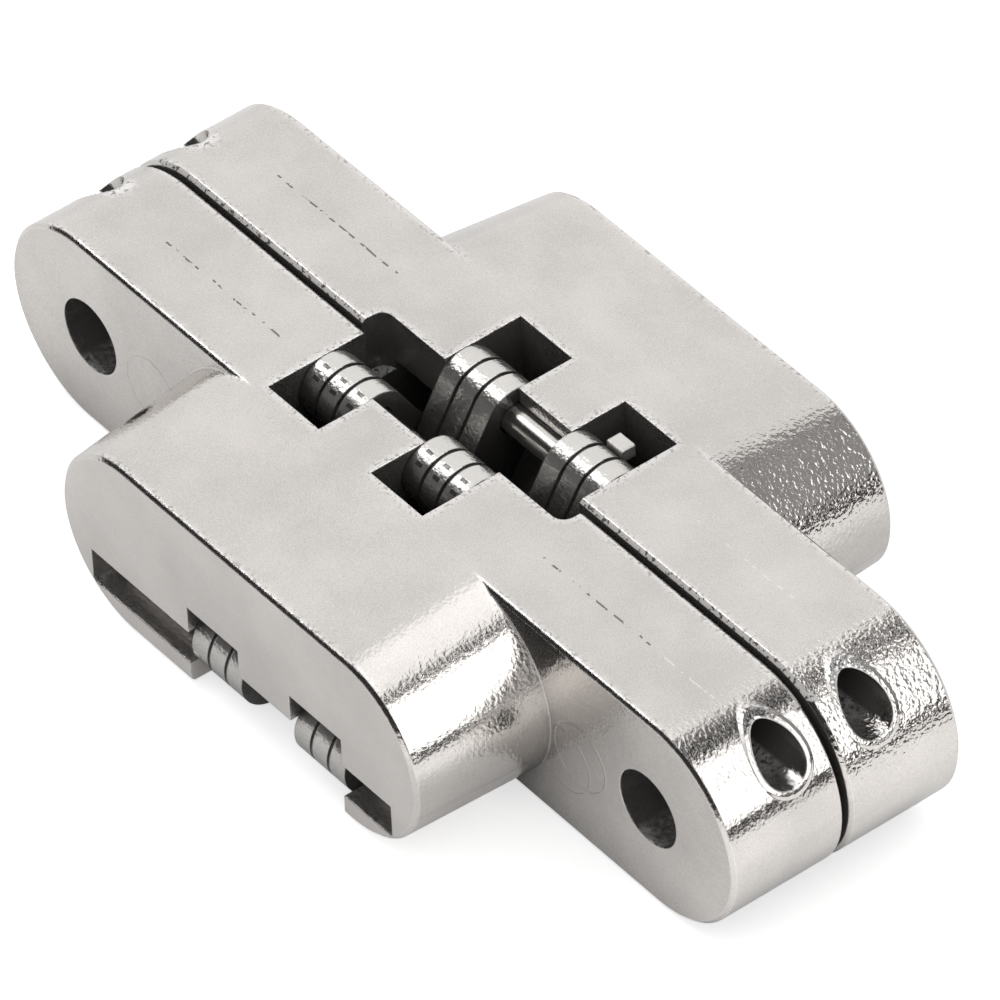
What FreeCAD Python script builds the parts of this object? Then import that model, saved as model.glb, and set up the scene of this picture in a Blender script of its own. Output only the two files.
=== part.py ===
import FreeCAD, Part
import math
import os

# Concealed door hinge, closed, in millimetres.
# X runs along the leaves, Y across them with the near leaf at minus Y, Z is up.
# The origin is the centre of the hinge, on the plane between the two leaves.

# Leaf flange
LEAF_LENGTH = 60.0
LEAF_HEIGHT = 12.4
FLANGE_THICKNESS = 7.2
FACE_GAP = 0.4
RIM_CHAMFER = 0.2

# Tapered block behind the flange
BLOCK_LENGTH = 30.8
BLOCK_DEPTH = 8.2
BLOCK_TOP_DROP = 1.05
BLOCK_BOTTOM_RISE = 0.15
BLOCK_CHAMFER = 0.2

# Wood screws
SCREW_END_DISTANCE = 6.8
SCREW_HOLE_D = 4.5
SCREW_HEAD_D = 9.2

# Pins
PIVOT_ROD_D = 1.8
CENTRE_PIN_D = 1.8
SLIDE_PIN_D = 1.4
PIN_CLEARANCE = 0.05
PIN_CHAMFER = 0.15
PIVOT_DEPTH = 2.8
PIVOT_ROD_LENGTH = 23.0
ROD_CORE_D = 2.7
ROD_CORE_START = 12.0
SLIDE_PIN_LENGTH = 24.0
SLIDE_PIN_INSET = 2.2
SLIDE_PIN_HEIGHT = -3.6

# Link plates
PLATE_THICKNESS = 1.36
PLATE_GAP = 0.05
PLATES_PER_STACK = 3
STACK_CLEARANCE = 0.05
HEAD_R = 1.9
HUB_R = 1.75
WAIST_R = 0.95
WAIST_Y = 1.7
WAIST_Z = -3.8
ELBOW_R = 1.1
ELBOW_Y = 4.9
ELBOW_Z = -4.5
TAIL_R = 2.05
ROD_NOTCH_CLEARANCE = 0.95
HOLE_SIDES = 12
LINK_TURN_SHARE = 0.37
OPENING_ANGLE = 180.0

# Pockets in the castings
SLOT_BACK = 6.6
SLOT_FLOOR = -1.9
SLOT_MOUTH_FLOOR = -3.3
RECESS_DEPTH = 3.1
OUTER_RECESS_DEPTH = 1.6
POCKET_CEILING = -0.8
POCKET_CLEARANCE = 0.25
ROD_LEDGE = 1.2
SCOOP_R = 0.8

# Slide groove in the back
GROOVE_LENGTH = 25.1
GROOVE_TOP = -2.57
GROOVE_BOTTOM = -4.75
GROOVE_MOUTH = 3.0
GROOVE_INNER_TOP = -2.2
GROOVE_INNER_BOTTOM = -5.0
GROOVE_INNER_END = 6.7
LIP_CUT_DEPTH = 8.0

# Sizes that follow
FRONT = FACE_GAP / 2
FLANGE_BACK = FRONT + FLANGE_THICKNESS
BACK = FLANGE_BACK + BLOCK_DEPTH
SLIDE_PIN_DEPTH = BACK - SLIDE_PIN_INSET
HALF_HEIGHT = LEAF_HEIGHT / 2
PIVOT_HEIGHT = HALF_HEIGHT - HEAD_R
SCREW_SPACING = LEAF_LENGTH - 2 * SCREW_END_DISTANCE
PLATE_PITCH = PLATE_THICKNESS + PLATE_GAP
STACK_WIDTH = PLATES_PER_STACK * PLATE_PITCH - PLATE_GAP
STACK_PITCH = STACK_WIDTH + 2 * STACK_CLEARANCE
BEYOND = 2.0
FIT_TOLERANCE = 0.001

X_AXIS = FreeCAD.Vector(1, 0, 0)
Y_AXIS = FreeCAD.Vector(0, 1, 0)
Z_AXIS = FreeCAD.Vector(0, 0, 1)
CENTRE = FreeCAD.Vector(0, 0, 0)


def prism(points, x_from, x_to):
    # points are depth behind the middle plane and height, on the near side
    corners = [FreeCAD.Vector(x_from, -depth, height) for depth, height in points]
    face = Part.Face(Part.makePolygon(corners + corners[:1]))
    return face.extrude(X_AXIS * (x_to - x_from))


def near_cylinder(diameter, x_from, x_to, depth, height):
    start = FreeCAD.Vector(x_from, -depth, height)
    return Part.makeCylinder(diameter / 2, x_to - x_from, start, X_AXIS)


def stadium(depth, half_length, low, high):
    # outline with round ends in a plane across Y, on the near side
    radius = (high - low) / 2
    middle = (high + low) / 2
    reach = half_length - radius

    def at(x, z):
        return FreeCAD.Vector(x, -depth, z)

    right = Part.Arc(at(reach, low), at(half_length, middle), at(reach, high))
    left = Part.Arc(at(-reach, high), at(-half_length, middle), at(-reach, low))
    top = Part.LineSegment(at(reach, high), at(-reach, high))
    bottom = Part.LineSegment(at(-reach, low), at(reach, low))
    return Part.Wire([line.toShape() for line in (right, top, left, bottom)])


def rim_edges(solid, depth):
    box_of = [(edge, edge.BoundBox) for edge in solid.Edges]
    return [edge for edge, box in box_of
            if abs(box.YMin + depth) < FIT_TOLERANCE and abs(box.YMax + depth) < FIT_TOLERANCE]


def flange():
    outline = stadium(FRONT, LEAF_LENGTH / 2, -HALF_HEIGHT, HALF_HEIGHT)
    plate = Part.Face(outline).extrude(Y_AXIS * -FLANGE_THICKNESS)
    rims = rim_edges(plate, FRONT) + rim_edges(plate, FLANGE_BACK)
    return plate.makeChamfer(RIM_CHAMFER, rims)


def block():
    # two cones and the wedge between them share the slopes of the top and of the bottom
    # it starts at the flange's rim chamfer, so the two top faces meet in one line
    start = FLANGE_BACK - RIM_CHAMFER
    run = BACK - start
    top_slope = BLOCK_TOP_DROP / run
    bottom_slope = BLOCK_BOTTOM_RISE / run
    apex_run = LEAF_HEIGHT / (top_slope + bottom_slope)
    apex = FreeCAD.Vector(0, -start - apex_run, HALF_HEIGHT - top_slope * apex_run)
    half_angle = (math.atan(top_slope) + math.atan(bottom_slope)) / 2
    tilt = (math.atan(top_slope) - math.atan(bottom_slope)) / 2
    axis = FreeCAD.Vector(0, math.cos(tilt), math.sin(tilt))
    from_apex = (apex_run - run - BEYOND, apex_run + 2 * BEYOND)
    radii = [reach * math.tan(half_angle) for reach in from_apex]
    centre = BLOCK_LENGTH / 2 - HALF_HEIGHT
    pieces = [Part.makeCone(
        radii[0], radii[1], from_apex[1] - from_apex[0],
        apex + axis * from_apex[0] + X_AXIS * x, axis) for x in (-centre, centre)]
    outline = [
        (start, -HALF_HEIGHT), (start, HALF_HEIGHT),
        (BACK, HALF_HEIGHT - BLOCK_TOP_DROP), (BACK, BLOCK_BOTTOM_RISE - HALF_HEIGHT)]
    wide = Part.makeBox(
        2 * LEAF_LENGTH, run, 2 * LEAF_HEIGHT,
        FreeCAD.Vector(-LEAF_LENGTH, -BACK, -LEAF_HEIGHT))
    solid = prism(outline, -centre, centre).fuse([piece.common(wide) for piece in pieces])
    solid = solid.removeSplitter()
    return solid.makeChamfer(BLOCK_CHAMFER, rim_edges(solid, BACK))


def screw_holes():
    cutters = []
    head_depth = (SCREW_HEAD_D - SCREW_HOLE_D) / 2
    for x in (-SCREW_SPACING / 2, SCREW_SPACING / 2):
        back = FreeCAD.Vector(x, -FLANGE_BACK - BEYOND, 0)
        cutters.append(Part.makeCylinder(
            SCREW_HOLE_D / 2, FLANGE_THICKNESS + 2 * BEYOND, back, Y_AXIS))
        seat = FreeCAD.Vector(x, -FRONT - head_depth, 0)
        cutters.append(Part.makeCone(
            SCREW_HOLE_D / 2, SCREW_HEAD_D / 2 + BEYOND, head_depth + BEYOND, seat, Y_AXIS))
    return cutters


def own_slot(x_from):
    top = HALF_HEIGHT + BEYOND
    outline = [
        (-BEYOND, SLOT_MOUTH_FLOOR), (SLOT_BACK, SLOT_FLOOR),
        (SLOT_BACK, top), (-BEYOND, top)]
    return prism(outline, x_from, x_from + STACK_PITCH)


def link_pocket(x_from, recess):
    # follows the sweep of the far links, from lying low when closed to standing when open
    top = HALF_HEIGHT + BEYOND
    low = -HALF_HEIGHT - BEYOND
    outline = [
        (-BEYOND, top),
        (recess, top),
        (recess, PIVOT_HEIGHT - ROD_LEDGE),
        (RECESS_DEPTH + ROD_LEDGE, PIVOT_HEIGHT - ROD_LEDGE - POCKET_CLEARANCE),
        (BACK - SLOT_BACK, POCKET_CEILING),
        (BACK + BEYOND, POCKET_CEILING),
        (BACK + BEYOND, low),
        (SLOT_BACK, low),
        (PIVOT_DEPTH - POCKET_CLEARANCE, ELBOW_Z - ELBOW_R + POCKET_CLEARANCE),
        (-BEYOND, SLOT_MOUTH_FLOOR)]
    return prism(outline, x_from, x_from + STACK_PITCH)


def scoop():
    # rounded run-out of the top recess beyond the outer far stack
    floor = PIVOT_HEIGHT - PIVOT_ROD_D
    x_wall = 2 * STACK_PITCH
    tall = HALF_HEIGHT + BEYOND - floor
    centre_depth = OUTER_RECESS_DEPTH - SCOOP_R
    round_end = Part.makeCylinder(
        SCOOP_R, tall, FreeCAD.Vector(x_wall, -centre_depth, floor), Z_AXIS)
    front_part = Part.makeBox(
        SCOOP_R, centre_depth + BEYOND, tall,
        FreeCAD.Vector(x_wall, -centre_depth, floor))
    return round_end.fuse(front_part)


def groove():
    mouth = BACK - GROOVE_MOUTH
    inner = mouth - (GROOVE_INNER_TOP - GROOVE_TOP)
    outline = [
        (BACK + BEYOND, GROOVE_TOP),
        (mouth, GROOVE_TOP),
        (inner, GROOVE_INNER_TOP),
        (GROOVE_INNER_END, GROOVE_INNER_TOP),
        (GROOVE_INNER_END, GROOVE_INNER_BOTTOM),
        (inner, GROOVE_INNER_BOTTOM),
        (mouth, GROOVE_BOTTOM),
        (BACK + BEYOND, GROOVE_BOTTOM)]
    return prism(outline, -GROOVE_LENGTH / 2, GROOVE_LENGTH / 2)


def lip_cut():
    # the lower lip of the groove is open between the two tail windows
    low = -HALF_HEIGHT - BEYOND
    outline = [
        (LIP_CUT_DEPTH, low), (BACK + BEYOND, low),
        (BACK + BEYOND, GROOVE_TOP), (LIP_CUT_DEPTH, GROOVE_TOP)]
    return prism(outline, -STACK_PITCH, 2 * STACK_PITCH)


def rod_bores():
    bore = PIVOT_ROD_D + 2 * PIN_CLEARANCE
    half = PIVOT_ROD_LENGTH / 2
    cutters = [near_cylinder(bore, -half - STACK_CLEARANCE, half + STACK_CLEARANCE,
                             PIVOT_DEPTH, PIVOT_HEIGHT)]
    far_end = LEAF_LENGTH / 2
    cutters.append(near_cylinder(ROD_CORE_D, ROD_CORE_START, far_end, PIVOT_DEPTH, PIVOT_HEIGHT))
    cutters.append(near_cylinder(ROD_CORE_D, -far_end, -ROD_CORE_START, PIVOT_DEPTH, PIVOT_HEIGHT))
    return cutters


def casting():
    solid = flange().fuse(block()).removeSplitter()
    cutters = screw_holes() + rod_bores()
    cutters += [own_slot(-2 * STACK_PITCH), own_slot(0)]
    cutters += [link_pocket(-STACK_PITCH, RECESS_DEPTH)]
    cutters += [link_pocket(STACK_PITCH, OUTER_RECESS_DEPTH)]
    cutters += [scoop(), groove(), lip_cut()]
    return solid.cut(cutters).removeSplitter()


def tapered_bar(start, start_r, end, end_r):
    # flat hull of two discs in the plane of the plate, as (y, z) points
    run_y = end[0] - start[0]
    run_z = end[1] - start[1]
    length = math.hypot(run_y, run_z)
    heading = math.atan2(run_z, run_y)
    spread = math.acos((start_r - end_r) / length)
    corners = []
    for side in (1, -1):
        angle = heading + side * spread
        pair = []
        for point, radius in ((start, start_r), (end, end_r)):
            pair.append(FreeCAD.Vector(
                0, point[0] + radius * math.cos(angle), point[1] + radius * math.sin(angle)))
        corners += pair if side == 1 else pair[::-1]
    face = Part.Face(Part.makePolygon(corners + corners[:1]))
    return face.extrude(X_AXIS * PLATE_THICKNESS)


def disc(point, radius):
    start = FreeCAD.Vector(0, point[0], point[1])
    return Part.makeCylinder(radius, PLATE_THICKNESS, start, X_AXIS)


def plate_hole(point, radius):
    # flats that touch the round from outside, which keeps the twelve plates light
    step = 2 * math.pi / HOLE_SIDES
    corner_r = radius / math.cos(step / 2)
    angles = [step * (side + 0.5) for side in range(HOLE_SIDES)]
    outline = [(-point[0] - corner_r * math.cos(angle), point[1] + corner_r * math.sin(angle))
               for angle in angles]
    return prism(outline, 0, PLATE_THICKNESS)


def rod_notch_centre():
    # where the other leaf's rod stands beside this link when the hinge is fully open
    reach = math.hypot(PIVOT_DEPTH, PIVOT_HEIGHT)
    full_turn = OPENING_ANGLE / (1 + LINK_TURN_SHARE) * (1 - LINK_TURN_SHARE)
    angle = math.atan2(PIVOT_DEPTH, PIVOT_HEIGHT) + math.radians(full_turn)
    return (reach * math.sin(angle), reach * math.cos(angle))


def link_plate(centre_hole_d, slide_hole_d):
    head = (-PIVOT_DEPTH, PIVOT_HEIGHT)
    hub = (0, 0)
    waist = (WAIST_Y, WAIST_Z)
    elbow = (ELBOW_Y, ELBOW_Z)
    tail = (SLIDE_PIN_DEPTH, SLIDE_PIN_HEIGHT)
    bars = [
        tapered_bar(hub, HUB_R, waist, WAIST_R),
        tapered_bar(waist, WAIST_R, elbow, ELBOW_R),
        tapered_bar(elbow, ELBOW_R, tail, TAIL_R),
        disc(head, HEAD_R), disc(hub, HUB_R), disc(waist, WAIST_R),
        disc(elbow, ELBOW_R), disc(tail, TAIL_R)]
    plate = tapered_bar(head, HEAD_R, hub, HUB_R).fuse(bars).removeSplitter()
    holes = [
        plate_hole(rod_notch_centre(), PIVOT_ROD_D / 2 + ROD_NOTCH_CLEARANCE),
        plate_hole(head, PIVOT_ROD_D / 2 + PIN_CLEARANCE),
        plate_hole(hub, centre_hole_d / 2),
        plate_hole(tail, slide_hole_d / 2)]
    return plate.cut(holes)


def pin(diameter, length, y, z):
    start = FreeCAD.Vector(-length / 2, y, z)
    rod = Part.makeCylinder(diameter / 2, length, start, X_AXIS)
    rims = [edge for edge in rod.Edges if edge.BoundBox.XLength < PIN_CHAMFER]
    return rod.makeChamfer(PIN_CHAMFER, rims)


def turned(shape):
    # the far leaf and its links are the near ones turned half a turn about the vertical axis
    other = shape.copy()
    other.rotate(CENTRE, Z_AXIS, 180)
    return other


def moved(shape, x):
    other = shape.copy()
    other.translate(X_AXIS * x)
    return other


def build():
    nodes = {}
    near_casting = casting()
    nodes["near_casting"] = near_casting
    nodes["far_casting"] = turned(near_casting)

    pivot_rod = pin(PIVOT_ROD_D, PIVOT_ROD_LENGTH, -PIVOT_DEPTH, PIVOT_HEIGHT)
    nodes["near_pivot_rod"] = pivot_rod
    nodes["far_pivot_rod"] = turned(pivot_rod)
    centre_length = 4 * STACK_PITCH - 2 * STACK_CLEARANCE
    nodes["centre_pin"] = pin(CENTRE_PIN_D, centre_length, 0, 0)
    slide_pin = pin(SLIDE_PIN_D, SLIDE_PIN_LENGTH, SLIDE_PIN_DEPTH, SLIDE_PIN_HEIGHT)
    nodes["near_slide_pin"] = slide_pin
    nodes["far_slide_pin"] = turned(slide_pin)

    fixed_plate = link_plate(CENTRE_PIN_D, SLIDE_PIN_D)
    free_plate = link_plate(CENTRE_PIN_D + 2 * PIN_CLEARANCE, SLIDE_PIN_D)
    number = 0
    for stack_start in (-2 * STACK_PITCH, 0):
        for place in range(PLATES_PER_STACK):
            number += 1
            x = stack_start + STACK_CLEARANCE + place * PLATE_PITCH
            nodes["near_link_%d" % number] = moved(fixed_plate, x)
            nodes["far_link_%d" % number] = turned(moved(free_plate, x))
    return nodes


os.makedirs("parts", exist_ok=True)
for name, shape in build().items():
    shape.exportStep(os.path.join("parts", name + ".step"))
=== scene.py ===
import math

import bpy
from bpy.props import FloatProperty, FloatVectorProperty, PointerProperty
from mathutils import Matrix, Vector


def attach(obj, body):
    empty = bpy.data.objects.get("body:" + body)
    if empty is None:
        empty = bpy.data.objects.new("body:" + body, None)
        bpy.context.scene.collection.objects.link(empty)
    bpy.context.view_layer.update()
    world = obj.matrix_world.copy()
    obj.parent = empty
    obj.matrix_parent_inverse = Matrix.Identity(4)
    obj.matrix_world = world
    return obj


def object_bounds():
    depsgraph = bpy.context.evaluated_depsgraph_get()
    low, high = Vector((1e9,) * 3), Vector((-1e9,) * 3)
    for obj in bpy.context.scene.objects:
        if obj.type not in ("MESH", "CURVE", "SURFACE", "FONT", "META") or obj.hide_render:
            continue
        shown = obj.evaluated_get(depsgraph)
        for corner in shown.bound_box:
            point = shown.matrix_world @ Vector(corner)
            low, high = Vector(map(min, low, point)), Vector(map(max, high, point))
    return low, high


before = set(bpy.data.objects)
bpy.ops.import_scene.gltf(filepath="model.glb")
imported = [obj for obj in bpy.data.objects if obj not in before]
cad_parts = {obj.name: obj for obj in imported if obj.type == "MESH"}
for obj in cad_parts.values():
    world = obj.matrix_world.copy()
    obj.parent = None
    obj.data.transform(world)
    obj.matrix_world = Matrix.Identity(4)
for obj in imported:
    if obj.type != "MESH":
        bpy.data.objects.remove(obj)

LOADED_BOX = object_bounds()

bl_info = {
    "name": "Concealed door hinge finish",
    "version": (1, 0, 0),
    "blender": (4, 5, 0),
    "location": "3D View > Sidebar > Hinge",
    "description": "Dresses a concealed door hinge in satin nickel and lights it like a catalogue picture",
    "category": "Object",
}

# Names of the pieces on the frame
CASTINGS = ("near_casting", "far_casting")
PLATES = tuple(name for name in sorted(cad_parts) if "_link_" in name)
RODS = ("near_pivot_rod", "far_pivot_rod", "centre_pin")
SLIDE_PINS = ("near_slide_pin", "far_slide_pin")

MM = 0.001


def scene_settings():
    return bpy.context.scene.hinge_looks


class HingeLooks(bpy.types.PropertyGroup):
    nickel_color: FloatVectorProperty(
        name="Nickel colour", description="Colour of the satin nickel plating on the castings",
        subtype="COLOR", size=3, min=0.0, max=1.0, default=(0.655, 0.625, 0.598))
    nickel_roughness: FloatProperty(
        name="Nickel roughness", description="How soft the reflections in the plated castings are",
        min=0.0, max=1.0, default=0.13)
    skin_size: FloatProperty(
        name="Cast skin size", description="Width of the soft bumps in the cast skin under the plating",
        subtype="DISTANCE", unit="LENGTH", default=0.00022)
    skin_height: FloatProperty(
        name="Cast skin height", description="Height of the soft bumps in the cast skin",
        subtype="DISTANCE", unit="LENGTH", default=0.000015)
    plate_color: FloatVectorProperty(
        name="Link plate colour", description="Colour of the stamped and plated link plates",
        subtype="COLOR", size=3, min=0.0, max=1.0, default=(0.72, 0.7, 0.67))
    plate_roughness: FloatProperty(
        name="Link plate roughness", description="How soft the reflections in the link plates are",
        min=0.0, max=1.0, default=0.18)
    steel_color: FloatVectorProperty(
        name="Pin steel colour", description="Colour of the drawn steel rods and pins",
        subtype="COLOR", size=3, min=0.0, max=1.0, default=(0.7, 0.68, 0.65))
    steel_roughness: FloatProperty(
        name="Pin steel roughness", description="How soft the reflections in the rods are",
        min=0.0, max=1.0, default=0.15)
    # Width of the rounded edges and of the painted line along them: a painted highlight on castings, pins
    # and nose, painted shade on the link plates
    edge_radius: FloatProperty(
        name="Painted edge width", description="Width of the bright rounded line along the edges",
        subtype="DISTANCE", unit="LENGTH", default=0.00014)
    # How far from the walls the painted shade in slots and recesses reaches
    painted_shade_reach: FloatProperty(
        name="Painted shade reach", description="How far from the walls of a slot the painted shade reaches",
        subtype="DISTANCE", unit="LENGTH", default=0.008)
    floor_color: FloatVectorProperty(
        name="Floor colour", description="Colour of the pale floor",
        subtype="COLOR", size=3, min=0.0, max=1.0, default=(0.9, 0.9, 0.9))


# Marks on the leaves, in millimetres. Side 1 is the near leaf and side -1 the far one. Along runs
# on the leaf's own length, behind from the plane between the leaves, and up from half its height.
LINE_DEPTH = 3.8
LINE_HALF_WIDTH = 0.055
LINE_WANDER = 0.3
LINE_DASH_LEVEL = 0.52
DARK_LINES = {1: ((-20.8, -11.0), (10.7, 19.2)), -1: ((11.0, 21.4),)}
LIGHT_LINES = {1: ((20.0, 24.5),), -1: ((-21.5, -13.0),)}
EJECTOR_RINGS = ((-17.9, -0.1), (17.7, -0.5), (16.4, -1.5))
EJECTOR_RADIUS = 2.05
EJECTOR_LINE = 0.07
PIVOT_DEPTH = 2.8
PIVOT_HEIGHT = 4.3
BORE_RADIUS = 1.35
BORE_RIM_WIDTH = 0.28
ROUND_END_START = 24.0
FLANGE_BACK = 7.4
FLANGE_TOP = 6.2
FRONT_RIM_END = 0.75
FRONT_RIM_FOOT = 5.3
GROOVE_START = 8.5
GROOVE_TOP = -2.3
HAMMERED_END = -25.0
HAMMERED_FOOT = 0.5
HAMMERED_BLOCK = (-16.0, -10.0)

# Link plates, in millimetres, with the rows of painted dark reflections as degrees round the head
STACK_PITCH = 4.28
STACK_CLEARANCE = 0.05
PLATE_PITCH = 1.41
PLATE_MIDDLE = 0.68
SEAMS = (1.435, 2.845)
HEAD_RADIUS = 1.9
REFLECTION_ROWS = (16.0, 41.0)
REFLECTION_HALF_LENGTH = 0.24
REFLECTION_HALF_TURN = 3.44
REFLECTION_REACH = 0.08
STOP_NOSE = ((5.79, 4.15, 5.2), (7.05, 5.1, 6.05))
STOP_NOSE_EDGE = 0.09

# Tones of the painted highlight along edges, of the painted shade along the plates' edges and in recesses,
# and of the marks
EDGE_HIGHLIGHT_TONE = (0.93, 0.92, 0.91)
PLATE_EDGE_SHADE_TONE = (0.03, 0.028, 0.026)
CASTING_RECESS_SHADE = (0.085, 0.08, 0.076)
LINK_RECESS_SHADE = (0.04, 0.038, 0.036)
DARK_LINE_TONE = (0.07, 0.06, 0.05)
LIGHT_LINE_TONE = (0.95, 0.95, 0.94)
# Painted shade in the seams between plates
SEAM_SHADE_TONE = (0.02, 0.018, 0.016)
# Painted dark reflections on the plates' heads
HEAD_REFLECTION_TONE = (0.06, 0.052, 0.048)
# Painted highlight, speckled with painted shade, round the borders of upward faces
BORDER_HIGHLIGHT_TONES = ((0.97, 0.96, 0.95), (0.2, 0.18, 0.17))
# Painted highlight band, speckled with painted shade, on the sloping front rim of the flange
FRONT_RIM_REFLECTION_TONES = ((0.6, 0.58, 0.56), (0.12, 0.11, 0.1))

# Heights of the marks, in heights of the cast skin
RING_RISE = 1.5
BORE_RIM_RISE = 3.0
LINE_RISE = -1.5
SEAM_RISE = -2.0
DENT_RISE = 2.6

# Scales of the noises, per metre
CLOUD_SCALE = 170.0
TORN_EDGE_SCALE = 3500.0
LINE_WANDER_SCALE = 300.0
LINE_DASH_SCALE = 1900.0
DENT_SCALE = 4000.0

# How much wider the torn border is than the rounded edge, and the samples of the edge, the border and the
# painted recess shade
BORDER_REACH = 5.5
EDGE_SAMPLES = 4
BORDER_SAMPLES = 2
RECESS_SAMPLES = 4


def new_group(name, inputs, outputs):
    """Empty shader node group with its sockets, and its input and output nodes."""
    tree = bpy.data.node_groups.new(name, "ShaderNodeTree")
    for label, kind, default in inputs:
        socket = tree.interface.new_socket(name=label, in_out="INPUT", socket_type=kind)
        if default is not None:
            socket.default_value = default
    for label, kind in outputs:
        tree.interface.new_socket(name=label, in_out="OUTPUT", socket_type=kind)
    enter = tree.nodes.new("NodeGroupInput")
    leave = tree.nodes.new("NodeGroupOutput")
    return tree, enter, leave


def add_node(tree, kind, **values):
    node = tree.nodes.new(kind)
    for key, value in values.items():
        setattr(node, key, value)
    return node


def feed(tree, socket, value):
    """Links an output to the socket, or writes a plain value into it."""
    if isinstance(value, bpy.types.NodeSocket):
        tree.links.new(value, socket)
    else:
        socket.default_value = value


def calc(tree, operation, first, second=None, third=None, clamp=False):
    node = add_node(tree, "ShaderNodeMath", operation=operation, use_clamp=clamp)
    for socket, value in zip(node.inputs, (first, second, third)):
        if value is not None:
            feed(tree, socket, value)
    return node.outputs[0]


def noise(tree, vector, scale, detail=3.0, roughness=0.5):
    node = add_node(tree, "ShaderNodeTexNoise")
    node.inputs["Detail"].default_value = detail
    node.inputs["Roughness"].default_value = roughness
    feed(tree, node.inputs["Scale"], scale)
    tree.links.new(vector, node.inputs["Vector"])
    return node.outputs["Fac"]


def ramp(tree, value, low, high):
    """Soft step from 0 at low to 1 at high."""
    node = add_node(tree, "ShaderNodeMapRange", interpolation_type="SMOOTHSTEP", clamp=True)
    node.inputs["From Min"].default_value = low
    node.inputs["From Max"].default_value = high
    tree.links.new(value, node.inputs["Value"])
    return node.outputs["Result"]


def mix_color(tree, factor, first, second):
    """Mixes two colours, each an output or a tone of three numbers."""
    node = add_node(tree, "ShaderNodeMix", data_type="RGBA")
    feed(tree, node.inputs["Factor"], factor)
    sockets = [socket for socket in node.inputs if socket.type == "RGBA"]
    for socket, color in zip(sockets, (first, second)):
        feed(tree, socket, (*color, 1.0) if isinstance(color, tuple) else color)
    return [socket for socket in node.outputs if socket.type == "RGBA"][0]


def build_cast_skin():
    """Orange peel, fine grain and cloudy tone of a plated casting."""
    tree, enter, leave = new_group(
        "Cast skin",
        [("Peel Scale", "NodeSocketFloat", 4500.0), ("Grain Share", "NodeSocketFloat", 0.2)],
        [("Height", "NodeSocketFloat"), ("Cloud", "NodeSocketFloat"), ("Grain", "NodeSocketFloat")])
    where = add_node(tree, "ShaderNodeTexCoord").outputs["Object"]
    peel = noise(tree, where, enter.outputs["Peel Scale"], 1.0, 0.4)
    fine_scale = calc(tree, "MULTIPLY", enter.outputs["Peel Scale"], 3.4)
    fine = noise(tree, where, fine_scale, 2.0, 0.6)
    cloud = noise(tree, where, CLOUD_SCALE, 5.0, 0.6)
    height = calc(tree, "MULTIPLY_ADD", fine, enter.outputs["Grain Share"], peel)
    tree.links.new(height, leave.inputs["Height"])
    tree.links.new(cloud, leave.inputs["Cloud"])
    tree.links.new(fine, leave.inputs["Grain"])


def rounded_edge(tree, true_normal, reach, samples):
    """Normal rounded within reach of an edge, and how far it turns away from the true one."""
    bevel = add_node(tree, "ShaderNodeBevel", samples=samples)
    tree.links.new(reach, bevel.inputs["Radius"])
    dot = add_node(tree, "ShaderNodeVectorMath", operation="DOT_PRODUCT")
    tree.links.new(bevel.outputs["Normal"], dot.inputs[0])
    tree.links.new(true_normal, dot.inputs[1])
    return bevel.outputs["Normal"], calc(tree, "SUBTRACT", 1.0, dot.outputs["Value"], clamp=True)


def build_painted_edge_line():
    """Mask of the edges for a painted line along them, their rounded normal, and a wider border round
    upward faces for a painted highlight, ragged by a noise.
    """
    tree, enter, leave = new_group(
        "Painted edge line and rounding",
        [("Radius", "NodeSocketFloat", 0.0002), ("Raggedness", "NodeSocketFloat", 0.5)],
        [("Mask", "NodeSocketFloat"), ("Border", "NodeSocketFloat"), ("Normal", "NodeSocketVector")])
    where = add_node(tree, "ShaderNodeTexCoord").outputs["Object"]
    torn = calc(tree, "SUBTRACT", noise(tree, where, TORN_EDGE_SCALE, 3.0, 0.6), 0.5)
    share = calc(tree, "MULTIPLY_ADD", torn, enter.outputs["Raggedness"], 0.5)
    radius = calc(tree, "MULTIPLY", enter.outputs["Radius"], calc(tree, "MULTIPLY", share, 2.0))
    wide = calc(tree, "MULTIPLY", radius, BORDER_REACH)
    true_normal = add_node(tree, "ShaderNodeNewGeometry").outputs["Normal"]
    rounded, turned = rounded_edge(tree, true_normal, radius, EDGE_SAMPLES)
    wide_turned = rounded_edge(tree, true_normal, wide, BORDER_SAMPLES)[1]
    upward = add_node(tree, "ShaderNodeSeparateXYZ")
    tree.links.new(true_normal, upward.inputs[0])
    facing_up = ramp(tree, upward.outputs["Z"], 0.85, 0.95)
    border = calc(tree, "MULTIPLY", ramp(tree, wide_turned, 0.005, 0.02), facing_up)
    tree.links.new(ramp(tree, turned, 0.02, 0.16), leave.inputs["Mask"])
    tree.links.new(border, leave.inputs["Border"])
    tree.links.new(rounded, leave.inputs["Normal"])


def build_painted_recess_shade():
    """Mask of the painted shade deep in slots and gaps, from ambient occlusion."""
    tree, enter, leave = new_group(
        "Painted recess shade",
        [("Reach", "NodeSocketFloat", 0.004), ("Open", "NodeSocketFloat", 0.5)],
        [("Mask", "NodeSocketFloat")])
    shade = add_node(tree, "ShaderNodeAmbientOcclusion", samples=RECESS_SAMPLES)
    tree.links.new(enter.outputs["Reach"], shade.inputs["Distance"])
    share = calc(tree, "DIVIDE", shade.outputs["AO"], enter.outputs["Open"])
    tree.links.new(calc(tree, "SUBTRACT", 1.0, ramp(tree, share, 0.55, 1.0)), leave.inputs["Mask"])


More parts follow.
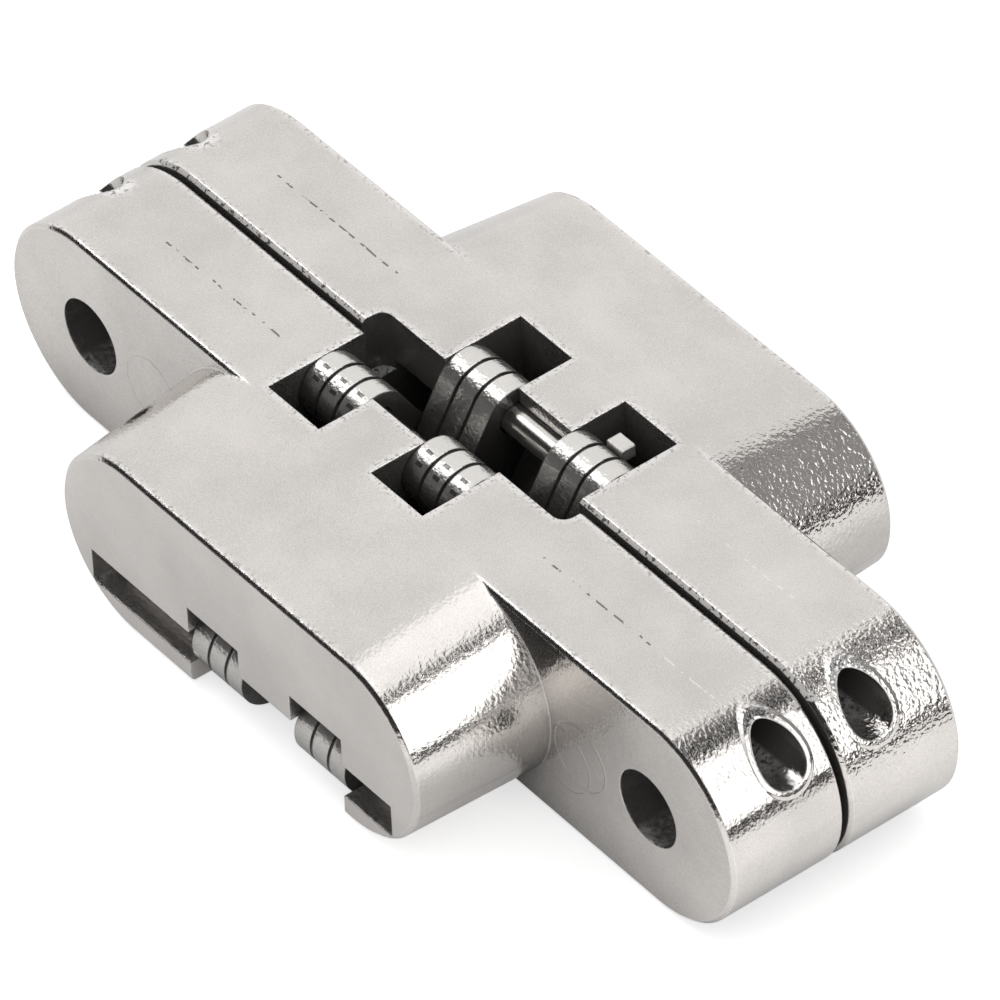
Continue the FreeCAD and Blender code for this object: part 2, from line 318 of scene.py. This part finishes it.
def build_ring_mark():
    """Band around a centre in a plane, for struck rings and rolled rims."""
    tree, enter, leave = new_group(
        "Ring mark",
        [("Across", "NodeSocketFloat", 0.0), ("Along", "NodeSocketFloat", 0.0),
         ("Radius", "NodeSocketFloat", 2.0), ("Width", "NodeSocketFloat", 0.1)],
        [("Mask", "NodeSocketFloat")])
    across = calc(tree, "POWER", enter.outputs["Across"], 2.0)
    along = calc(tree, "POWER", enter.outputs["Along"], 2.0)
    reach = calc(tree, "SQRT", calc(tree, "ADD", across, along))
    off = calc(tree, "ABSOLUTE", calc(tree, "SUBTRACT", reach, enter.outputs["Radius"]))
    share = calc(tree, "DIVIDE", off, enter.outputs["Width"])
    tree.links.new(calc(tree, "SUBTRACT", 1.0, ramp(tree, share, 0.3, 1.0)), leave.inputs["Mask"])


GROUP_BUILDERS = {
    "Cast skin": build_cast_skin,
    "Painted edge line and rounding": build_painted_edge_line,
    "Painted recess shade": build_painted_recess_shade,
    "Ring mark": build_ring_mark,
}


def place_group(tree, name, **values):
    if name not in bpy.data.node_groups:
        GROUP_BUILDERS[name]()
    node = add_node(tree, "ShaderNodeGroup")
    node.node_tree = bpy.data.node_groups[name]
    for key, value in values.items():
        feed(tree, node.inputs[key.replace("_", " ")], value)
    return node


def own_place(tree, signs=(1, 1, 1)):
    """Where a point is on the closed hinge, in millimetres along X, Y and Z."""
    split = add_node(tree, "ShaderNodeSeparateXYZ")
    tree.links.new(add_node(tree, "ShaderNodeTexCoord").outputs["Object"], split.inputs[0])
    return [calc(tree, "MULTIPLY", split.outputs[axis], sign / MM) for axis, sign in zip("XYZ", signs)]


def leaf_place(tree, side):
    """Where a point is on its own leaf, in millimetres: along, behind, up."""
    return own_place(tree, (side, -side, 1))


def near_value(tree, value, target, width):
    """1 where value is within width of target."""
    off = calc(tree, "ABSOLUTE", calc(tree, "SUBTRACT", value, target))
    return calc(tree, "LESS_THAN", off, width)


def between(tree, value, low, high):
    """1 where value is between low and high."""
    above = calc(tree, "GREATER_THAN", value, low)
    return calc(tree, "MULTIPLY", above, calc(tree, "LESS_THAN", value, high))


def struck_rings(tree, along, behind, up):
    """Lines of the round struck marks on the back of the flange."""
    on_back = near_value(tree, behind, FLANGE_BACK, 0.05)
    rings = 0.0
    for x, z in EJECTOR_RINGS:
        ring = place_group(
            tree, "Ring mark",
            Across=calc(tree, "SUBTRACT", along, x), Along=calc(tree, "SUBTRACT", up, z),
            Radius=EJECTOR_RADIUS, Width=EJECTOR_LINE).outputs["Mask"]
        rings = calc(tree, "MAXIMUM", rings, calc(tree, "MULTIPLY", ring, on_back))
    return rings


def bore_rims(tree, along, behind, up):
    """Rolled rims round the rod bores in the round ends."""
    rim = place_group(
        tree, "Ring mark",
        Across=calc(tree, "SUBTRACT", behind, PIVOT_DEPTH), Along=calc(tree, "SUBTRACT", up, PIVOT_HEIGHT),
        Radius=BORE_RADIUS + BORE_RIM_WIDTH / 2, Width=BORE_RIM_WIDTH).outputs["Mask"]
    at_end = calc(tree, "GREATER_THAN", calc(tree, "ABSOLUTE", along), ROUND_END_START)
    return calc(tree, "MULTIPLY", rim, at_end)


def dashed_lines(tree, side, along, behind, up):
    """Dark and light dashed lines on top of the flange."""
    where = add_node(tree, "ShaderNodeTexCoord").outputs["Object"]
    swing = noise(tree, where, LINE_WANDER_SCALE, 2.0)
    wander = calc(tree, "MULTIPLY_ADD", swing, LINE_WANDER, LINE_DEPTH - LINE_WANDER / 2)
    off_line = calc(tree, "ABSOLUTE", calc(tree, "SUBTRACT", behind, wander))
    thin = calc(tree, "LESS_THAN", off_line, LINE_HALF_WIDTH)
    dashes = calc(tree, "GREATER_THAN", noise(tree, where, LINE_DASH_SCALE, 2.0), LINE_DASH_LEVEL)
    on_top = calc(tree, "GREATER_THAN", up, FLANGE_TOP - 0.02)
    drawn = calc(tree, "MULTIPLY", calc(tree, "MULTIPLY", thin, dashes), on_top)
    lines = []
    for spans in (DARK_LINES[side], LIGHT_LINES[side]):
        span = 0.0
        for low, high in spans:
            span = calc(tree, "MAXIMUM", span, between(tree, along, low, high))
        lines.append(calc(tree, "MULTIPLY", drawn, span))
    return lines


def groove_mask(tree, behind, up):
    """The low part of the block, where the back groove runs."""
    return calc(tree, "MULTIPLY", calc(tree, "GREATER_THAN", behind, GROOVE_START),
                calc(tree, "LESS_THAN", up, GROOVE_TOP))


def front_rim_mask(tree, behind, up):
    """The sloping rim between the top of the flange and its front face, where a painted highlight band
    goes.
    """
    facing = add_node(tree, "ShaderNodeSeparateXYZ")
    tree.links.new(add_node(tree, "ShaderNodeNewGeometry").outputs["Normal"], facing.inputs[0])
    at_front = calc(tree, "MULTIPLY", calc(tree, "LESS_THAN", behind, FRONT_RIM_END),
                    calc(tree, "GREATER_THAN", up, FRONT_RIM_FOOT))
    return calc(tree, "MULTIPLY", at_front, between(tree, facing.outputs["Z"], 0.3, 0.9))


def hammered_dents(tree, along, behind, up):
    """Coarse dents at one round end of the leaf and at the same end of its block."""
    where = add_node(tree, "ShaderNodeTexCoord").outputs["Object"]
    dents = noise(tree, where, DENT_SCALE, 1.0, 0.5)
    leaf_end = calc(tree, "MULTIPLY", ramp(tree, along, HAMMERED_END + 1.0, HAMMERED_END),
                    calc(tree, "GREATER_THAN", up, HAMMERED_FOOT))
    block_end = calc(tree, "MULTIPLY", between(tree, along, *HAMMERED_BLOCK),
                     calc(tree, "GREATER_THAN", behind, FLANGE_BACK))
    return calc(tree, "MULTIPLY", dents, calc(tree, "MAXIMUM", leaf_end, block_end))


def plate_seams(tree):
    """Mask of the two seams between the three plates of every stack, painted dark as shade in the gaps."""
    along = calc(tree, "FLOORED_MODULO", own_place(tree)[0], STACK_PITCH)
    first, second = [calc(tree, "ABSOLUTE", calc(tree, "SUBTRACT", along, place)) for place in SEAMS]
    return calc(tree, "SUBTRACT", 1.0, ramp(tree, calc(tree, "MINIMUM", first, second), 0.06, 0.15))


def head_painted_reflections(tree):
    """Two rows of small painted dark reflections on the round heads of the near plates."""
    along, across, up = own_place(tree)
    forward = calc(tree, "SUBTRACT", -PIVOT_DEPTH, across)
    above = calc(tree, "SUBTRACT", up, PIVOT_HEIGHT)
    squares = [calc(tree, "POWER", value, 2.0) for value in (forward, above)]
    on_head = near_value(tree, calc(tree, "SQRT", calc(tree, "ADD", *squares)), HEAD_RADIUS, REFLECTION_REACH)
    in_stack = calc(tree, "SUBTRACT", calc(tree, "FLOORED_MODULO", along, STACK_PITCH), STACK_CLEARANCE)
    in_plate = near_value(
        tree, calc(tree, "FLOORED_MODULO", in_stack, PLATE_PITCH), PLATE_MIDDLE, REFLECTION_HALF_LENGTH)
    turn = calc(tree, "ARCTAN2", forward, above)
    rows = calc(tree, "MAXIMUM", *[
        near_value(tree, turn, math.radians(row), math.radians(REFLECTION_HALF_TURN)) for row in REFLECTION_ROWS])
    return calc(tree, "MULTIPLY", calc(tree, "MULTIPLY", rows, in_plate), on_head)


def metal_material(name, color, roughness, shift, skin_scale, skin_height, open_share,
                   edge_paint_color, recess_shade_color, side=None, seams=False):
    """Plated metal with its own skin, rounded edges with a painted line along them, and painted shade in
    recesses.
    """
    looks = scene_settings()
    material = bpy.data.materials.new(name)
    material.use_nodes = True
    tree = material.node_tree
    tree.nodes.clear()
    out = add_node(tree, "ShaderNodeOutputMaterial")
    shader = add_node(tree, "ShaderNodeBsdfPrincipled")
    tree.links.new(shader.outputs["BSDF"], out.inputs["Surface"])
    skin = place_group(tree, "Cast skin", Peel_Scale=skin_scale, Grain_Share=0.2)
    rim = place_group(tree, "Painted edge line and rounding", Radius=looks.edge_radius, Raggedness=0.9)
    recess_shade = place_group(tree, "Painted recess shade", Reach=looks.painted_shade_reach, Open=open_share)

    dark = tuple(value * (1 - shift) for value in color)
    light = tuple(min(1.0, value * (1 + shift)) for value in color)
    cloud = calc(tree, "MULTIPLY", skin.outputs["Cloud"], 0.4)
    mottle = calc(tree, "MULTIPLY_ADD", skin.outputs["Grain"], 0.6, cloud)
    tone = mix_color(tree, ramp(tree, mottle, 0.35, 0.65), dark, light)
    # Painted line along the edges: a painted highlight on castings, pins and nose, painted shade along the
    # link plates' edges
    tone = mix_color(tree, calc(tree, "MULTIPLY", rim.outputs["Mask"], 0.8), tone, edge_paint_color)
    height = skin.outputs["Height"]
    painted_matte = recess_shade.outputs["Mask"]
    if side is not None:
        place = leaf_place(tree, side)
        dark_line, light_line = dashed_lines(tree, side, *place)
        tone = mix_color(tree, calc(tree, "MULTIPLY", dark_line, 0.75), tone, DARK_LINE_TONE)
        tone = mix_color(tree, calc(tree, "MULTIPLY", light_line, 0.4), tone, LIGHT_LINE_TONE)
        height = calc(tree, "MULTIPLY_ADD", struck_rings(tree, *place), RING_RISE, height)
        height = calc(tree, "MULTIPLY_ADD", bore_rims(tree, *place), BORE_RIM_RISE, height)
        height = calc(tree, "MULTIPLY_ADD", dark_line, LINE_RISE, height)
        # Less painted shade on the floor of the back groove
        kept = calc(tree, "MULTIPLY_ADD", groove_mask(tree, *place[1:]), -0.75, 1.0)
        painted_matte = calc(tree, "MULTIPLY", painted_matte, kept)
    if side == -1:
        height = calc(tree, "MULTIPLY_ADD", hammered_dents(tree, *place), DENT_RISE, height)
    if seams:
        seam = plate_seams(tree)
        # Painted shade in the seams between plates, with a real dip in the bump
        tone = mix_color(tree, seam, tone, SEAM_SHADE_TONE)
        # Painted dark reflections on the plates' heads
        tone = mix_color(tree, calc(tree, "MULTIPLY", head_painted_reflections(tree), 0.8), tone, HEAD_REFLECTION_TONE)
        height = calc(tree, "MULTIPLY_ADD", seam, SEAM_RISE, height)
    # Painted shade in slots and recesses, from ambient occlusion
    tone = mix_color(tree, painted_matte, tone, recess_shade_color)
    if side is not None:
        # Painted highlight, speckled with painted shade, round the borders of upward faces
        speckle = ramp(tree, skin.outputs["Height"], 0.66, 0.74)
        border = calc(tree, "MULTIPLY", rim.outputs["Border"], 0.85)
        tone = mix_color(tree, border, tone, mix_color(tree, speckle, *BORDER_HIGHLIGHT_TONES))
        # Painted highlight band, speckled with painted shade, on the front rim
        front_rim = front_rim_mask(tree, *place[1:])
        tone = mix_color(tree, front_rim, tone, mix_color(tree, speckle, *FRONT_RIM_REFLECTION_TONES))
        painted_matte = calc(tree, "MAXIMUM", painted_matte, front_rim)
    # Where shade or the front rim band is painted, the surface is not metallic
    tree.links.new(calc(tree, "SUBTRACT", 1.0, painted_matte), shader.inputs["Metallic"])
    tree.links.new(tone, shader.inputs["Base Color"])

    spread = calc(tree, "MULTIPLY_ADD", skin.outputs["Grain"], 0.2, roughness - 0.1, clamp=True)
    tree.links.new(spread, shader.inputs["Roughness"])

    bump = add_node(tree, "ShaderNodeBump")
    bump.inputs["Strength"].default_value = 1.0
    bump.inputs["Distance"].default_value = skin_height
    tree.links.new(height, bump.inputs["Height"])
    tree.links.new(rim.outputs["Normal"], bump.inputs["Normal"])
    tree.links.new(bump.outputs["Normal"], shader.inputs["Normal"])
    return material


def dress(names, material):
    """Gives the named pieces of the frame this material."""
    for name in names:
        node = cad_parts[name]
        node.data.materials.clear()
        node.data.materials.append(material)


def add_stop_nose():
    """Small nose behind the middle plate of one far stack."""
    looks = scene_settings()
    low, high = [[MM * value for value in corner] for corner in STOP_NOSE]
    corners = [(x, y, z) for x in (low[0], high[0]) for y in (low[1], high[1]) for z in (low[2], high[2])]
    faces = [(0, 1, 3, 2), (4, 6, 7, 5), (0, 4, 5, 1), (2, 3, 7, 6), (0, 2, 6, 4), (1, 5, 7, 3)]
    mesh = bpy.data.meshes.new("stop_nose")
    mesh.from_pydata(corners, [], faces)
    nose = bpy.data.objects.new("stop_nose", mesh)
    bpy.context.scene.collection.objects.link(nose)
    edge = nose.modifiers.new("edge", "BEVEL")
    edge.width = MM * STOP_NOSE_EDGE
    edge.segments = 2
    nose.data.materials.append(metal_material(
        "plated_stop_nose", looks.plate_color, looks.plate_roughness * 2, shift=0.05,
        skin_scale=1 / looks.skin_size, skin_height=looks.skin_height, open_share=0.3,
        edge_paint_color=EDGE_HIGHLIGHT_TONE, recess_shade_color=LINK_RECESS_SHADE))
    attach(nose, "far_links")


class HINGE_OT_castings(bpy.types.Operator):
    """Gives both leaves their satin nickel skin"""
    bl_idname = "hinge.castings"
    bl_label = "Dress castings"

    def execute(self, context):
        looks = scene_settings()
        for name, side in zip(CASTINGS, (1, -1)):
            material = metal_material(
                "satin_nickel_" + name, looks.nickel_color, looks.nickel_roughness, shift=0.13,
                skin_scale=1 / looks.skin_size, skin_height=looks.skin_height, open_share=0.55,
                edge_paint_color=EDGE_HIGHLIGHT_TONE, recess_shade_color=CASTING_RECESS_SHADE, side=side)
            dress((name,), material)
        return {"FINISHED"}


class HINGE_OT_links(bpy.types.Operator):
    """Gives the link plates their plated stamped finish"""
    bl_idname = "hinge.links"
    bl_label = "Dress link plates"

    def execute(self, context):
        looks = scene_settings()
        material = metal_material(
            "plated_link_plate", looks.plate_color, looks.plate_roughness, shift=0.05,
            skin_scale=1 / looks.skin_size, skin_height=looks.skin_height * 2, open_share=0.9,
            edge_paint_color=PLATE_EDGE_SHADE_TONE, recess_shade_color=LINK_RECESS_SHADE, seams=True)
        dress(PLATES, material)
        add_stop_nose()
        return {"FINISHED"}


class HINGE_OT_pins(bpy.types.Operator):
    """Gives the rods and pins their drawn steel finish"""
    bl_idname = "hinge.pins"
    bl_label = "Dress rods and pins"

    def execute(self, context):
        looks = scene_settings()
        material = metal_material(
            "drawn_steel_pin", looks.steel_color, looks.steel_roughness, shift=0.06,
            skin_scale=2 / looks.skin_size, skin_height=looks.skin_height * 0.3, open_share=0.4,
            edge_paint_color=EDGE_HIGHLIGHT_TONE, recess_shade_color=LINK_RECESS_SHADE)
        dress(RODS + SLIDE_PINS, material)
        return {"FINISHED"}


# Camera fitted to the picture, in degrees and metres, with the lens in millimetres
CAMERA_AZIMUTH = 53.43
CAMERA_ELEVATION = 43.04
CAMERA_ROLL = -2.83
CAMERA_DISTANCE = 0.6521
CAMERA_AIM_RIGHT = 0.00123
CAMERA_AIM_UP = 0.00012
CAMERA_LENS = 455.8
CAMERA_SENSOR = 36.0

# Cards round the hinge, as name, distance in metres, strength and outline of directions
CARDS = (
    ("white_right_card", 0.62, 2.2, (
        (0.26, 0.46, 0.85), (0.62, 0.47, 0.63), (0.87, 0.47, 0.09), (1.0, 0.2, 0.09), (1.0, -0.03, 0.09),
        (0.75, -0.03, 0.65), (0.53, 0.1, 0.84), (0.42, 0.3, 0.86))),
    ("black_gap_card", 0.6, 0.0, (
        (-0.2, 0.49, 0.85), (0.17, 0.49, 0.86), (0.25, 0.44, 0.87), (0.42, 0.31, 0.86), (0.55, 0.15, 0.82),
        (0.4, 0.15, 0.9), (0.19, 0.31, 0.93), (-0.15, 0.42, 0.9))),
    ("white_overhead_card", 0.64, 1.45, (
        (0.16, 0.31, 0.94), (-0.12, 0.4, 0.91), (-0.33, 0.38, 0.86), (-0.42, 0.3, 0.86), (-0.4, 0.1, 0.91),
        (-0.1, -0.05, 0.99), (0.3, 0.02, 0.95), (0.34, 0.16, 0.92))),
    ("grey_back_card", 0.6, 0.35, (
        (-0.2, 0.49, 0.85), (0.62, 0.48, 0.63), (0.87, 0.48, 0.02), (0.5, 0.86, 0.02), (-0.1, 0.99, 0.02),
        (-0.1, 0.8, 0.6))),
    ("dark_camera_card", 1.3, 0.04, (
        (-0.95, -0.3, 0.05), (-0.4, -0.9, 0.05), (0.4, -0.9, 0.05), (0.95, -0.28, 0.05),
        (0.78, -0.2, 0.6), (0.5, -0.2, 0.84), (0.2, -0.2, 0.96), (-0.15, -0.3, 0.93),
        (-0.4, -0.45, 0.75), (-0.78, -0.3, 0.55))),
    ("black_edge_card", 0.13, 0.0, (
        (0.98, -0.2, -0.045), (0.9, 0.43, -0.045), (0.5, 0.86, -0.045),
        (0.5, 0.86, 0.095), (0.9, 0.43, 0.095), (0.98, -0.2, 0.095))),
)

# Studio, in metres and degrees, with strengths where 1 is white
WORLD_LEVEL = 0.8
FLOOR_LIFT_SEEN = 0.6
FLOOR_LIFT_REFLECTED = 0.14
FLOOR_LIFT_RIGHT = 0.3
FLOOR_SIZE = 3.0
FLOOR_GAP = 0.00002
SOFTBOX_AZIMUTH = -165.0
SOFTBOX_ELEVATION = 50.0
SOFTBOX_DISTANCE = 0.7
SOFTBOX_SIZE = 0.2
SOFTBOX_RADIANCE = 2.5


def camera_axes():
    """The level camera's right, up and back directions."""
    azimuth = math.radians(CAMERA_AZIMUTH)
    elevation = math.radians(CAMERA_ELEVATION)
    back = Vector((math.sin(azimuth) * math.cos(elevation),
                   -math.cos(azimuth) * math.cos(elevation),
                   math.sin(elevation)))
    right = Vector((math.cos(azimuth), math.sin(azimuth), 0.0))
    return right, back.cross(right), back


def add_camera():
    """The camera that took the picture."""
    right, up, back = camera_axes()
    roll = math.radians(CAMERA_ROLL)
    rolled_right = right * math.cos(roll) + up * math.sin(roll)
    rolled_up = up * math.cos(roll) - right * math.sin(roll)
    data = bpy.data.cameras.new("catalogue_camera")
    data.lens = CAMERA_LENS
    data.sensor_width = CAMERA_SENSOR
    data.clip_start = 0.05
    data.clip_end = 20.0
    camera = bpy.data.objects.new("catalogue_camera", data)
    turn = Matrix((rolled_right, rolled_up, back)).transposed().to_4x4()
    place = right * CAMERA_AIM_RIGHT + up * CAMERA_AIM_UP + back * CAMERA_DISTANCE
    camera.matrix_world = Matrix.Translation(place) @ turn
    bpy.context.scene.collection.objects.link(camera)
    bpy.context.scene.camera = camera


def toward(azimuth, elevation, distance):
    """Point in that direction from the hinge, with azimuth turning from +X to +Y."""
    flat = math.cos(math.radians(elevation)) * distance
    return Vector((flat * math.cos(math.radians(azimuth)), flat * math.sin(math.radians(azimuth)),
                   math.sin(math.radians(elevation)) * distance))


def add_softbox(name, place, size, radiance):
    """Square lamp that looks at the hinge."""
    data = bpy.data.lights.new(name, "AREA")
    data.shape = "SQUARE"
    data.size = size
    data.energy = radiance * math.pi * size ** 2
    light = bpy.data.objects.new(name, data)
    light.location = place
    light.rotation_euler = (-place).to_track_quat("-Z", "Y").to_euler()
    bpy.context.scene.collection.objects.link(light)


def card_material(name, strength):
    """Evenly glowing card, black at strength 0."""
    material = bpy.data.materials.new(name)
    material.use_nodes = True
    shader = material.node_tree.nodes["Principled BSDF"]
    shader.inputs["Base Color"].default_value = (0.0, 0.0, 0.0, 1.0)
    shader.inputs["Specular IOR Level"].default_value = 0.0
    shader.inputs["Emission Color"].default_value = (1.0, 1.0, 1.0, 1.0)
    shader.inputs["Emission Strength"].default_value = strength
    return material


def add_card(name, distance, strength, outline):
    """Card that only the metal's reflections see, cut to directions (x, y, z)."""
    points = [Vector(direction).normalized() * distance for direction in outline]
    middle = sum(points, Vector()).normalized() * distance
    count = len(points)
    faces = [(index, (index + 1) % count, count) for index in range(count)]
    mesh = bpy.data.meshes.new(name)
    mesh.from_pydata([*points, middle], [], faces)
    card = bpy.data.objects.new(name, mesh)
    card.data.materials.append(card_material(name, strength))
    card.visible_camera = False
    card.visible_diffuse = False
    card.visible_shadow = False
    bpy.context.scene.collection.objects.link(card)


def seen_level(tree, direct, reflected):
    """One level for camera rays, and one for the rays that show the background in metal."""
    path = add_node(tree, "ShaderNodeLightPath")
    mirrored = calc(tree, "MAXIMUM", path.outputs["Is Glossy Ray"], path.outputs["Is Transmission Ray"])
    return calc(tree, "MAXIMUM", calc(tree, "MULTIPLY", path.outputs["Is Camera Ray"], direct),
                calc(tree, "MULTIPLY", mirrored, reflected))


def add_world():
    """Soft white light from all round, and a white background."""
    world = bpy.data.worlds.new("studio")
    world.use_nodes = True
    tree = world.node_tree
    tree.nodes.clear()
    out = add_node(tree, "ShaderNodeOutputWorld")
    light = add_node(tree, "ShaderNodeBackground")
    light.inputs["Color"].default_value = (1.0, 1.0, 1.0, 1.0)
    light.inputs["Strength"].default_value = WORLD_LEVEL
    white = add_node(tree, "ShaderNodeBackground")
    white.inputs["Color"].default_value = (1.0, 1.0, 1.0, 1.0)
    white.inputs["Strength"].default_value = 1.0
    mix = add_node(tree, "ShaderNodeMixShader")
    tree.links.new(seen_level(tree, 1.0, 1.0), mix.inputs[0])
    tree.links.new(light.outputs[0], mix.inputs[1])
    tree.links.new(white.outputs[0], mix.inputs[2])
    tree.links.new(mix.outputs[0], out.inputs["Surface"])
    bpy.context.scene.world = world


def add_floor(color):
    """Pale floor just under the hinge, lifted to white where the camera sees it."""
    low = LOADED_BOX[0]
    half = FLOOR_SIZE / 2
    mesh = bpy.data.meshes.new("floor")
    corners = [(-half, -half, 0), (half, -half, 0), (half, half, 0), (-half, half, 0)]
    mesh.from_pydata(corners, [], [(0, 1, 2, 3)])
    floor = bpy.data.objects.new("floor", mesh)
    floor.location = (0, 0, low.z - FLOOR_GAP)
    bpy.context.scene.collection.objects.link(floor)
    material = bpy.data.materials.new("pale_floor")
    material.use_nodes = True
    tree = material.node_tree
    tree.nodes.clear()
    out = add_node(tree, "ShaderNodeOutputMaterial")
    shader = add_node(tree, "ShaderNodeBsdfPrincipled")
    shader.inputs["Base Color"].default_value = (*color, 1.0)
    shader.inputs["Roughness"].default_value = 0.9
    shader.inputs["Specular IOR Level"].default_value = 0.0
    shader.inputs["Emission Strength"].default_value = 1.0
    place = add_node(tree, "ShaderNodeSeparateXYZ")
    tree.links.new(add_node(tree, "ShaderNodeTexCoord").outputs["Object"], place.inputs[0])
    right_side = ramp(tree, place.outputs["X"], 0.02, 0.04)
    reflected = calc(tree, "MULTIPLY_ADD", right_side, FLOOR_LIFT_RIGHT, FLOOR_LIFT_REFLECTED)
    lift = seen_level(tree, FLOOR_LIFT_SEEN, reflected)
    glow = add_node(tree, "ShaderNodeCombineColor")
    for socket in glow.inputs:
        tree.links.new(lift, socket)
    tree.links.new(glow.outputs[0], shader.inputs["Emission Color"])
    tree.links.new(shader.outputs["BSDF"], out.inputs["Surface"])
    floor.data.materials.append(material)


class HINGE_OT_stage(bpy.types.Operator):
    """Adds the floor, the lights and the camera"""
    bl_idname = "hinge.stage"
    bl_label = "Add stage"

    def execute(self, context):
        looks = scene_settings()
        add_floor(looks.floor_color)
        add_world()
        place = toward(SOFTBOX_AZIMUTH, SOFTBOX_ELEVATION, SOFTBOX_DISTANCE)
        add_softbox("top_softbox", place, SOFTBOX_SIZE, SOFTBOX_RADIANCE)
        for name, distance, strength, outline in CARDS:
            add_card(name, distance, strength, outline)
        add_camera()
        context.scene.view_settings.view_transform = "Standard"
        return {"FINISHED"}


class HINGE_PT_sidebar(bpy.types.Panel):
    """Lists the looks and the steps that make them"""
    bl_idname = "HINGE_PT_sidebar"
    bl_label = "Concealed hinge"
    bl_space_type = "VIEW_3D"
    bl_region_type = "UI"
    bl_category = "Hinge"

    def draw(self, context):
        looks = scene_settings()
        for name in HingeLooks.__annotations__:
            self.layout.prop(looks, name)
        for operator in OPERATORS:
            self.layout.operator(operator.bl_idname)


OPERATORS = (HINGE_OT_castings, HINGE_OT_links, HINGE_OT_pins, HINGE_OT_stage)
CLASSES = (HingeLooks,) + OPERATORS + (HINGE_PT_sidebar,)


def register():
    for item in CLASSES:
        bpy.utils.register_class(item)
    bpy.types.Scene.hinge_looks = PointerProperty(type=HingeLooks)


def unregister():
    del bpy.types.Scene.hinge_looks
    for item in reversed(CLASSES):
        bpy.utils.unregister_class(item)


def main():
    register()
    bpy.ops.hinge.castings()
    bpy.ops.hinge.links()
    bpy.ops.hinge.pins()
    bpy.ops.hinge.stage()


if __name__ == "__main__":
    main()
